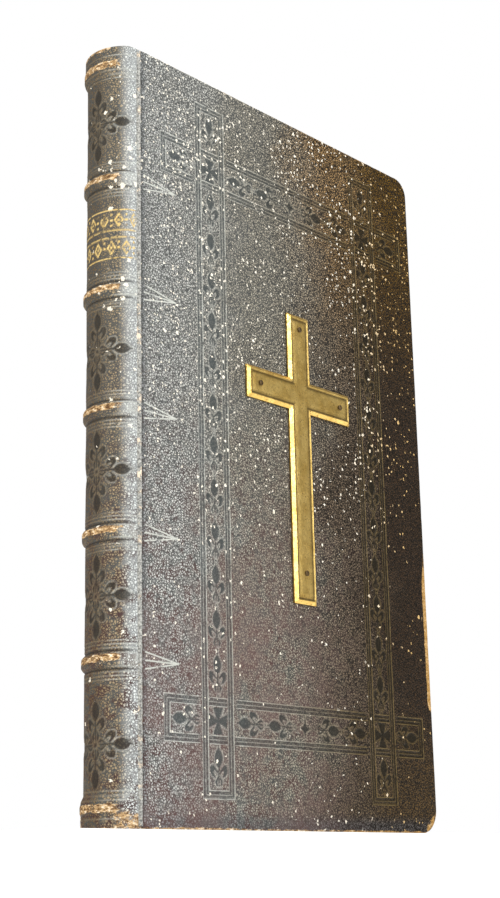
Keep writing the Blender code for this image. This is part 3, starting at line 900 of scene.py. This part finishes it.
SPINE_STEP = 0.5
SPINE_RADIUS = 14.5  # turns an angle on the spine into a distance along it
GROUND_PRESS = 0.45  # how far an ornament darkens the leather close round it
HALF_BAND = 3.0
WORN_ABOVE = 0.9  # the worn strip along a band lies this far above its middle
ORNAMENT_TALL, ORNAMENT_WIDE = 1.0, 0.84  # scales of the stamp up the spine and round it
TITLE_PANEL = 4  # the panel with rows of gilt, where the one at the tail is 0
FILLETS = (4.9, 6.3, 7.7)  # from a band's middle
END_FILLETS = (4.4, 11.6, 13.2, 15.0)  # from either end
PANEL_SWELL, BAND_ABOVE = 1.0, 1.35  # how far panels stand off the back, and bands off the panels
END_SWELL, END_RUN = 1.1, 14.0  # the thicker leather over the two ends, and how far it runs


def spine_place(angle, offset):
    """(u, v) on the spine's arc, offset outwards."""
    u = SPINE_CENTRE_U - (SPINE_HALF_DEPTH + offset) * np.cos(angle)
    return u, MIDDLE_V + (MIDDLE_V + offset) * np.sin(angle)


def panel_middles():
    """The heights of the panels' middles, from the tail up."""
    edges = [26.0 - (BANDS[1] - BANDS[0]) / 2] + BANDS + [BANDS[-1] + 54.0]
    return [(low + high) / 2 for low, high in zip(edges, edges[1:])]


def to_band(z):
    """The distance from the nearest raised band's middle."""
    return np.min([np.abs(z - height) for height in BANDS], axis=0)


def joint_hold(angle):
    """0 at the joints, 1 over the middle of the spine."""
    return ramp(np.abs(angle), SPINE_END_ANGLE, math.radians(50))


def end_swell(to_end):
    """How far the leather stands off near an end, from the distance to that end."""
    return END_SWELL * ramp(to_end, END_RUN, END_RUN - 3)


def spine_relief(angle, z):
    """(offset, marks) of the spine's leather: bands, end caps, fillets, ornaments and gilt, with a painted
    shadow along the bands' feet and a painted sheen on them by the joints.
    """
    def round_by(low, high):
        """A ramp over how far round from the spine's middle line a place is, in degrees."""
        return ramp(np.abs(angle), math.radians(low), math.radians(high))

    hold = joint_hold(angle)
    along = angle * SPINE_RADIUS
    near = to_band(z)
    above = np.min([np.abs(z - height - WORN_ABOVE) for height in BANDS], axis=0)
    rough = wander(along, z, 1.8, 21)
    band = ramp(near + 0.22 * rough, HALF_BAND + 0.8, HALF_BAND - 1.6)
    offset = (PANEL_SWELL + BAND_ABOVE * band) * hold
    worn = ramp(above + 0.3 * rough, 2.0, 1.1) * round_by(64, 28) * 0.66

    line = 0.65 * np.max([ridge(near, distance, 0.35) for distance in FILLETS], axis=0)
    # A painted shadow along both feet of each raised band, carried in the press mark, which also sinks the
    # leather there a little.
    foot = ridge(near, HALF_BAND + 0.6, 0.55) * hold
    line = np.maximum(line, tent(near, HALF_BAND - 0.4, 0.4) * ramp(np.abs(angle), 0.3, 0.8))
    sheen = 0.7 * band * round_by(38, 60) * (0.7 + 0.3 * rough)
    press, gilt = np.zeros(z.shape), np.zeros(z.shape)
    for number, middle in enumerate(panel_middles()):
        here = np.abs(z - middle) < FLEUR_LENGTH
        s, t = along[here], z[here] - middle
        if number == TITLE_PANEL:
            gilt[here] = gilt_rows(s, t)
            press[here] = gilt[here] * 0.5
            continue
        s, t = s / ORNAMENT_WIDE, t / ORNAMENT_TALL
        petals = [fleur(x, FLEUR_LENGTH - y) for x, y in ((s, t), (s, -t), (t, s), (t, -s))]
        distance = np.minimum.reduce(petals) * ORNAMENT_WIDE
        stamped, edged = stamp_marks(distance)
        press[here] = np.maximum(stamped, GROUND_PRESS * ramp(distance, 1.8, 0.3))
        line[here] = np.maximum(line[here], edged)
    to_end = np.minimum(z, BOARD_HEIGHT - z)
    roll = ramp(np.abs(to_end - 8.5) + 0.3 * rough, 2.3, 1.3)
    offset = offset + (end_swell(to_end) + 0.35 * roll) * hold
    off_front = ramp(angle, math.radians(-50), math.radians(-20))
    worn = np.maximum(worn, 0.62 * roll * round_by(60, 30))
    worn = np.maximum(worn, 0.60 * ramp(to_end, 3.2, 0.5) * off_front)
    worn = np.maximum(worn, 0.52 * ramp(z, 13, 4) * round_by(15, 40))
    press = np.maximum(press, foot)
    for distance in END_FILLETS:
        line = np.maximum(line, 0.7 * ridge(to_end, distance, 0.4))
    offset = offset - PRESS_DEPTH * press + LINE_RISE * line + 0.12 * wander(along, z, 14, 29) * hold
    offset = offset + 0.10 * rough * np.maximum(worn, 0.1) * hold
    # The painted sheen on the bands goes into the line mark, kept off the painted shadow at their feet.
    line = np.maximum(line, sheen * (1 - foot))
    return offset, {"press": press, "line": line, "wear": worn, "gilt": gilt}


def gilt_rows(s, t):
    """Two rows of lozenges and dots between fillets, in the place of a title."""
    rows = []
    for centre in (6.3, -6.3):
        y = t - centre
        x = (s + 50 + 3.1 * (centre < 0)) % 6.2 - 3.1
        lozenge = np.abs(x) / 1.9 + np.abs(y) / 3.2
        ring = ridge(lozenge, 0.85, 0.32)
        core = ramp(lozenge, 0.38, 0.2)
        dots = ramp(np.hypot(np.abs(x) - 3.1, y), 0.75, 0.45)
        small = ramp(np.hypot(np.abs(x) - 3.1, np.abs(y) - 2.5), 0.6, 0.3)
        fillet = ridge(np.abs(y), 4.6, 0.4)
        rows.append(np.maximum.reduce([ring, core, dots, small, fillet]))
    return np.maximum(*rows) * ramp(np.abs(s), 18.0, 15.5)


def spine_cover():
    """The leather of the spine as a closed skin, turned in over its two ends."""
    shape = Shape()
    columns = spread(-SPINE_END_ANGLE, SPINE_END_ANGLE, SPINE_STEP / SPINE_RADIUS)
    half = LEATHER_THICKNESS / 2
    heights = spread(half, BOARD_HEIGHT - half, SPINE_STEP)
    rows = []
    for z in heights:
        offset, marks = spine_relief(columns, np.full(columns.shape, z))
        u, v = spine_place(columns, offset)
        rows.append(shape.add(places(u, v, z), **marks))

    hold = joint_hold(columns)

    def turned(top, outer):
        """The skin's end rounded over from its outer face to its inner one."""
        thick = LEATHER_THICKNESS + PANEL_SWELL * hold
        for turn in np.radians((30, 60, 90, 120, 150)):
            z = top + math.copysign(half * math.sin(turn), top - 1)
            u, v = spine_place(columns, outer - thick / 2 * (1 - math.cos(turn)))
            rows.append(shape.add(places(u, v, z), wear=0.55))

    turned(heights[-1], spine_relief(columns, np.full(columns.shape, heights[-1]))[0])
    near_bands = [height + step for height in BANDS for step in (-3.4, -2.4, -1.4, 0, 1.4, 2.4, 3.4)]
    inner = sorted(set(near_bands) | set(spread(half, BOARD_HEIGHT - half, 6.0)), reverse=True)
    for z in inner:
        rise = BAND_RISE * ramp(to_band(np.array(z)), HALF_BAND, HALF_BAND - 1.5) * hold
        cap = end_swell(min(z, BOARD_HEIGHT - z)) * hold
        u, v = spine_place(columns, rise + cap - LEATHER_THICKNESS)
        rows.append(shape.add(places(u, v, z)))
    first = len(rows)
    turned(heights[0], spine_relief(columns, np.full(columns.shape, heights[0]))[0])
    rows[first:] = rows[first:][::-1]
    shape.grid(rows + rows[:1])
    for column, step in ((0, 1), (-1, -1)):
        shape.face(tuple(row[column] for row in rows[::step]))
    build_piece("spine_cover", shape.points, shape.faces, "text_block", [LEATHER],
                ["spine_leather"], shape.marks, flip=True)


def joint_strip(side):
    """The cracked leather of a joint, between the spine and its board."""
    shape = Shape()
    profile = [(-1.6, 1.9), (-1.3, 1.05), (-0.9, 0.42), (-0.45, 0.02), (0.0, -0.12), (0.4, 0.0),
               (0.75, 0.40), (1.1, 0.9), (1.5, 1.2), (1.9, 1.4), (0.9, 1.9), (-0.3, 1.9)]
    heights = spread(1.5, BOARD_HEIGHT - 1.5, 0.8)
    rows = []
    for z in heights:
        u, v = np.array(profile).T
        swell = np.exp(-(((u + 0.1) / 0.7) ** 2)) * (v < 1.5)
        level = np.full(u.shape, z)
        crack = 0.22 * wander(u * 2.0, level, 2.4, 33) + 0.14 * wander(u * 3, level, 0.9, 34)
        rows.append(shape.add(places(u, v - swell * (0.10 + crack), z)))
    shape.tube(rows)
    points = on_side(shape.points, side)
    strip = build_piece(side + "_joint", points, shape.faces, None, [TORN],
                        flip=side == "back")
    v = 0.5 if side == "front" else BOOK_THICKNESS - 0.5
    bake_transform(strip)


# ---------------------------------------------------------------- the text block

SHEETS_IN_GROUP = 4  # each is folded at the spine, and so is two leaves
PAPER_THICKNESS = 0.125
FORE_EDGE_HOLLOW = 6.0
LEAF_STEPS = 9  # points along a leaf from its edge to its fold, and round that fold
COCKLE = 0.02  # how far a leaf waves at its fore-edge
LEAF_REACH = plan_box("front_flyleaf")[1][0]
LEAVES_HALF = MIDDLE_V - plan_box("front_leaves_1")[0][1]


def gathering(node):
    """A gathering: folded sheets one inside the other, each reaching the hollow fore-edge."""
    low, high = plan_box(node)
    middle, half = (low[1] + high[1]) / 2, (high[1] - low[1]) / 2
    fold_u = low[0] + half
    shape = Shape()
    seed = int(round(middle * 100))
    source = np.random.default_rng(seed)
    heights = spread(low[2], high[2], 20.0)

    def leaf(sign, radius, end, z, shares):
        """Points at shares of the way along a leaf, with the slight cockle of old paper."""
        line = []
        for share in shares:
            u = fold_u + (end - fold_u) * share
            cockle = COCKLE * math.sin(u / 17 + z / 23 + seed) * share
            line.append((u, middle + sign * radius + cockle, z))
        return line

    for sheet in range(SHEETS_IN_GROUP):
        outer = half - sheet * (half / SHEETS_IN_GROUP)
        ends = []
        for sign in (-1, 1):
            v = middle + sign * outer
            hollow = 1 - ((v - MIDDLE_V) / LEAVES_HALF) ** 2
            ends.append(LEAF_REACH - FORE_EDGE_HOLLOW * hollow + source.uniform(-0.14, 0.10))
        loops = []
        shift = source.uniform(-0.12, 0.0, 2)
        for z in heights:
            z = min(max(z, low[2] - shift[0]), high[2] + shift[1])
            section = []
            for radius in (outer, outer - PAPER_THICKNESS):
                line = leaf(-1, radius, ends[0], z, np.linspace(1, 0, LEAF_STEPS)[:-1])
                for turn in np.linspace(-90, -270, LEAF_STEPS):
                    line.append((fold_u + radius * math.cos(math.radians(turn)),
                                 middle + radius * math.sin(math.radians(turn)), z))
                line += leaf(1, radius, ends[1], z, np.linspace(0, 1, LEAF_STEPS)[1:])
                section += line if radius == outer else line[::-1]
            loops.append(shape.add(section))
        count = len(loops[0])
        line = count // 2
        for below, above in zip(loops, loops[1:]):
            for k in range(count):
                after = (k + 1) % count
                kind = 1 if k in (line - 1, count - 1) else 0
                shape.face((below[k], above[k], above[after], below[after]), kind=kind)
        for loop, way in ((loops[0], 1), (loops[-1], -1)):
            for k in range(line - 1):
                quad = (loop[k], loop[k + 1], loop[count - 2 - k], loop[count - 1 - k])
                shape.face(quad[::way], kind=1)
    build_piece(node.replace("leaves", "gathering"), shape.points, shape.faces, node,
                [PAPER, LEAF_EDGE], [node], face_materials=shape.kinds, sharp=40)


def endband(node):
    """A cord wound with two silks, along the end of the spine."""
    low, high = plan_box(node)
    centre_z, radius = (low[2] + high[2]) / 2, (high[2] - low[2]) / 2
    offset = SPINE_CENTRE_U - SPINE_HALF_DEPTH - low[0] - radius
    end = math.radians(60)
    sides, strand = 12, 0.62
    around = np.arange(sides) * math.tau / sides
    shape = Shape()
    rows = []
    for turn in spread(-end, end, 0.011):
        wind = turn * SPINE_RADIUS / strand
        lean = wind + around / math.tau * 0.5
        size = radius * (0.90 + 0.12 * np.abs(np.sin(lean * math.pi)))
        u, v = spine_place(turn, offset + size * np.cos(around))
        silk = (np.floor(lean / 2) % 2 == 0).astype(float)
        rows.append(shape.add(places(u, v, centre_z + size * np.sin(around)), silk=silk))
    shape.tube(rows)
    build_piece(node + "_silk", shape.points, shape.faces, "text_block", [SILK], [node],
                shape.marks)


def sewn_back():
    """The folds of the gatherings glued behind the spine, scalloped one by one."""
    low, high = plan_box("sewn_back")
    shape = Shape()
    end = math.radians(64)
    back = SPINE_CENTRE_U - SPINE_HALF_DEPTH - low[0]
    folds = 13
    rows = []
    for z in spread(low[2], high[2], 30.0):
        turns = spread(-end, end, 2 * end / (folds * 8))
        wave = np.abs(np.sin((turns + end) / (2 * end) * folds * math.pi))
        u, v = spine_place(turns, back - 0.55 * (1 - wave) ** 1.5)
        front = [(high[0], high[1]), (high[0], low[1])]
        line = np.array(list(zip(u, v)) + front)
        rows.append(shape.add(np.column_stack([line, np.full(len(line), z)])))
    shape.tube(rows)
    build_piece("sewn_folds", shape.points, shape.faces, "text_block", [PAPER],
                ["sewn_back"], sharp=50, flip=True)


# ---------------------------------------------------------------- the brass cross

CROSS_BAR = 15.0
BEVEL_WIDTH, BEVEL_DROP = 1.5, 1.1
GROOVE_AT, GROOVE_WIDTH, GROOVE_DEPTH = 2.2, 0.5, 0.3


def cross_face():
    """The cross: bevelled, with a line cut just inside its bevel and a slightly beaten face."""
    low, high = plan_box("brass_cross")
    middle_u = (low[0] + high[0]) / 2
    arm_z = np.mean([plan_box("cross_tack_" + where)[k][2] for where in ("left", "right") for k in (0, 1)])
    upright = (middle_u - CROSS_BAR / 2, middle_u + CROSS_BAR / 2, low[2], high[2])
    arms = (low[0], high[0], arm_z - CROSS_BAR / 2, arm_z + CROSS_BAR / 2)
    groove_middle = GROOVE_AT + GROOVE_WIDTH / 2
    steps = [0, BEVEL_WIDTH / 2, BEVEL_WIDTH, GROOVE_AT, groove_middle, GROOVE_AT + GROOVE_WIDTH]
    across, up = [], []
    for left, right, tail, head in (upright, arms):
        for step in steps:
            across += [left + step, right - step]
            up += [tail + step, head - step]

    def depth_in(u, z):
        return np.maximum(inside(upright, u, z), inside(arms, u, z))

    flat, faces = pave(tidy_breaks(across), tidy_breaks(up), lambda u, z: (1.3, 1.3),
                       keep=lambda u, z: depth_in(u, z) > 0)
    u, z = flat.T
    depth = depth_in(u, z)
    groove = ridge(depth, groove_middle, GROOVE_WIDTH)
    v = low[1] + BEVEL_DROP * (1 - np.clip(depth / BEVEL_WIDTH, 0, 1)) + GROOVE_DEPTH * groove
    v = v + 0.05 * wander(u, z, 7, 41)
    shape = Shape()
    shape.add(places(u, v, z), line=groove)
    back = shape.add(places(u, high[1], z))
    shape.face(*faces)
    for outline in open_loops(faces):
        shape.face(*bridge(outline, [back[k] for k in outline]))
    shape.face(*(tuple(back[k] for k in reversed(face)) for face in faces))
    build_piece("brass_cross_plate", shape.points, shape.faces, "front_board", [BRASS],
                ["brass_cross"], shape.marks, sharp=18)


def tack(node):
    """A small round-headed tack with a worn rim, its shank down in the board."""
    low, high = plan_box(node)
    centre_u, centre_z, radius = (low[0] + high[0]) / 2, (low[2] + high[2]) / 2, (high[0] - low[0]) / 2
    dome = high[1] - low[1]
    angles = np.radians(range(12, 91, 13))
    profile = [(radius * math.sin(angle), 0.5 * (1 - math.cos(angle))) for angle in angles]
    profile += [(radius, 0.52), (radius * 0.38, 0.56), (radius * 0.36, dome - 0.6), (0.05, dome)]
    shape = Shape()
    sides = 20
    around = np.arange(sides) * math.tau / sides
    rows = []
    for size, depth in profile:
        u, z = centre_u + size * np.cos(around), centre_z + size * np.sin(around)
        rows.append(shape.add(places(u, low[1] + depth, z)))
    shape.tube(rows)
    build_piece(node.replace("cross_tack", "tack_head"), shape.points, shape.faces, "front_board",
                [TACK_BRASS], [node], sharp=50, flip=True)


# ---------------------------------------------------------------- assembly

def paint(node, material):
    """The material of a CAD node that is shown as it is."""
    materials = frame["nodes"][node].data.materials
    materials.clear()
    materials.append(material)


for board_side in ("front", "back"):
    board_cover(board_side)
    pastedown(board_side)
    flyleaf(board_side)
    joint_strip(board_side)
    paint(board_side + "_millboard", MILLBOARD)
    for group in range(1, 7):
        gathering("%s_leaves_%d" % (board_side, group))
spine_cover()
sewn_back()
endband("head_endband")
endband("tail_endband")
cross_face()
for where in ("top", "left", "right", "foot"):
    tack("cross_tack_" + where)
paint("spine_lining", LINEN)
for cord in range(1, 6):
    paint("raised_band_cord_%d" % cord, HEMP)


# ---------------------------------------------------------------- stage, light and camera, in metres


def stage_box(name, low, high, rounding, material):
    """A block with softened edges for the book to stand on, or the floor."""
    shape = bmesh.new()
    bmesh.ops.create_cube(shape, size=1)
    size = Vector(high) - Vector(low)
    bmesh.ops.scale(shape, vec=size, verts=shape.verts)
    bmesh.ops.translate(shape, vec=(Vector(low) + Vector(high)) / 2, verts=shape.verts)
    bmesh.ops.bevel(shape, geom=shape.edges[:], offset=rounding, segments=4, profile=0.5, affect="EDGES")
    mesh = bpy.data.meshes.new(name)
    shape.to_mesh(mesh)
    shape.free()
    mesh.materials.append(material)
    mesh.shade_smooth()
    mesh.set_sharp_from_angle(angle=math.radians(30))
    new_object(name, mesh)


def area_light(name, place, target, size, power, colour):
    light = bpy.data.lights.new(name, "AREA")
    light.shape = "RECTANGLE"
    light.size, light.size_y = size
    light.energy = power
    light.color = colour
    lamp = new_object(name, light)
    lamp.location = place
    lamp.rotation_euler = (Vector(target) - Vector(place)).to_track_quat("-Z", "Y").to_euler()


PLINTH_MARGIN, PLINTH_HEIGHT = 0.008, 0.055
FLOOR_HALF, FLOOR_THICKNESS = 12.0, 0.02
PLINTH_REACH = 0.08  # beyond the fore-edge, and half of it beyond the spine
book_low, book_high = cad_box
plinth_low = (book_low.x - PLINTH_REACH / 2, book_low.y - PLINTH_MARGIN, -PLINTH_HEIGHT)
plinth_high = (book_high.x + PLINTH_REACH, book_high.y + PLINTH_MARGIN, 0.0)
stage_box("plinth", plinth_low, plinth_high, 0.0015, stage_finish("plinth_paint", 0.90))
floor_low = (-FLOOR_HALF, -FLOOR_HALF, -PLINTH_HEIGHT - FLOOR_THICKNESS)
floor_high = (FLOOR_HALF, FLOOR_HALF, -PLINTH_HEIGHT)
stage_box("floor", floor_low, floor_high, 0.005, stage_finish("floor_paint", 0.86))

book_middle = (book_low + book_high) / 2
area_light("key_light", (-0.30, -1.30, 0.75), book_middle, (0.6, 0.9), 17.0, (1.0, 1.0, 0.985))
area_light("sheen_light", (0.30, -1.05, 0.50), book_middle, (0.25, 0.9), 2.0, (0.94, 0.97, 1.0))
area_light("spine_light", (-1.1, 0.35, 0.50), book_middle, (0.4, 0.8), 6.0, (1.0, 0.95, 0.86))
area_light("warm_light", (0.7, 0.5, 1.2), book_middle, (0.6, 0.6), 12.0, (1.0, 0.88, 0.66))
sky = bpy.data.lights.new("sky_light", "SUN")
sky.energy = 2.2
sky.angle = math.radians(60)
new_object("sky_light", sky)

ROOM_STRENGTH = 0.28
world = bpy.data.worlds.new("studio")
bpy.context.scene.world = world
world.use_nodes = True
background = world.node_tree.nodes["Background"]
seen = world.node_tree.nodes.new("ShaderNodeLightPath").outputs["Is Camera Ray"]
strength = world.node_tree.nodes.new("ShaderNodeMapRange")
strength.inputs["To Min"].default_value = ROOM_STRENGTH
world.node_tree.links.new(seen, strength.inputs["Value"])
world.node_tree.links.new(strength.outputs[0], background.inputs["Strength"])
background.inputs["Color"].default_value = (1.0, 1.0, 1.0, 1.0)
bpy.context.scene.view_settings.view_transform = "Standard"

CAMERA_PLACE = Vector((-0.5275, -0.4649, -0.0212))
CAMERA_LENS, SENSOR_WIDTH = 63.53, 36.0
CAMERA_HEADING, CAMERA_PITCH, CAMERA_ROLL = (math.radians(a) for a in (41.885, 15.38, -1.255))
level_right = Vector((math.sin(CAMERA_HEADING), -math.cos(CAMERA_HEADING), 0))
ahead = Vector((math.cos(CAMERA_HEADING) * math.cos(CAMERA_PITCH),
                math.sin(CAMERA_HEADING) * math.cos(CAMERA_PITCH), math.sin(CAMERA_PITCH)))
level_up = level_right.cross(ahead)
camera_right = level_right * math.cos(CAMERA_ROLL) + level_up * math.sin(CAMERA_ROLL)
camera_up = camera_right.cross(ahead)
camera = new_object("camera", bpy.data.cameras.new("camera"))
camera.matrix_world = Matrix((camera_right, camera_up, -ahead)).transposed().to_4x4()
camera.location = CAMERA_PLACE
camera.data.lens = CAMERA_LENS
camera.data.sensor_width = SENSOR_WIDTH
bpy.context.scene.camera = camera
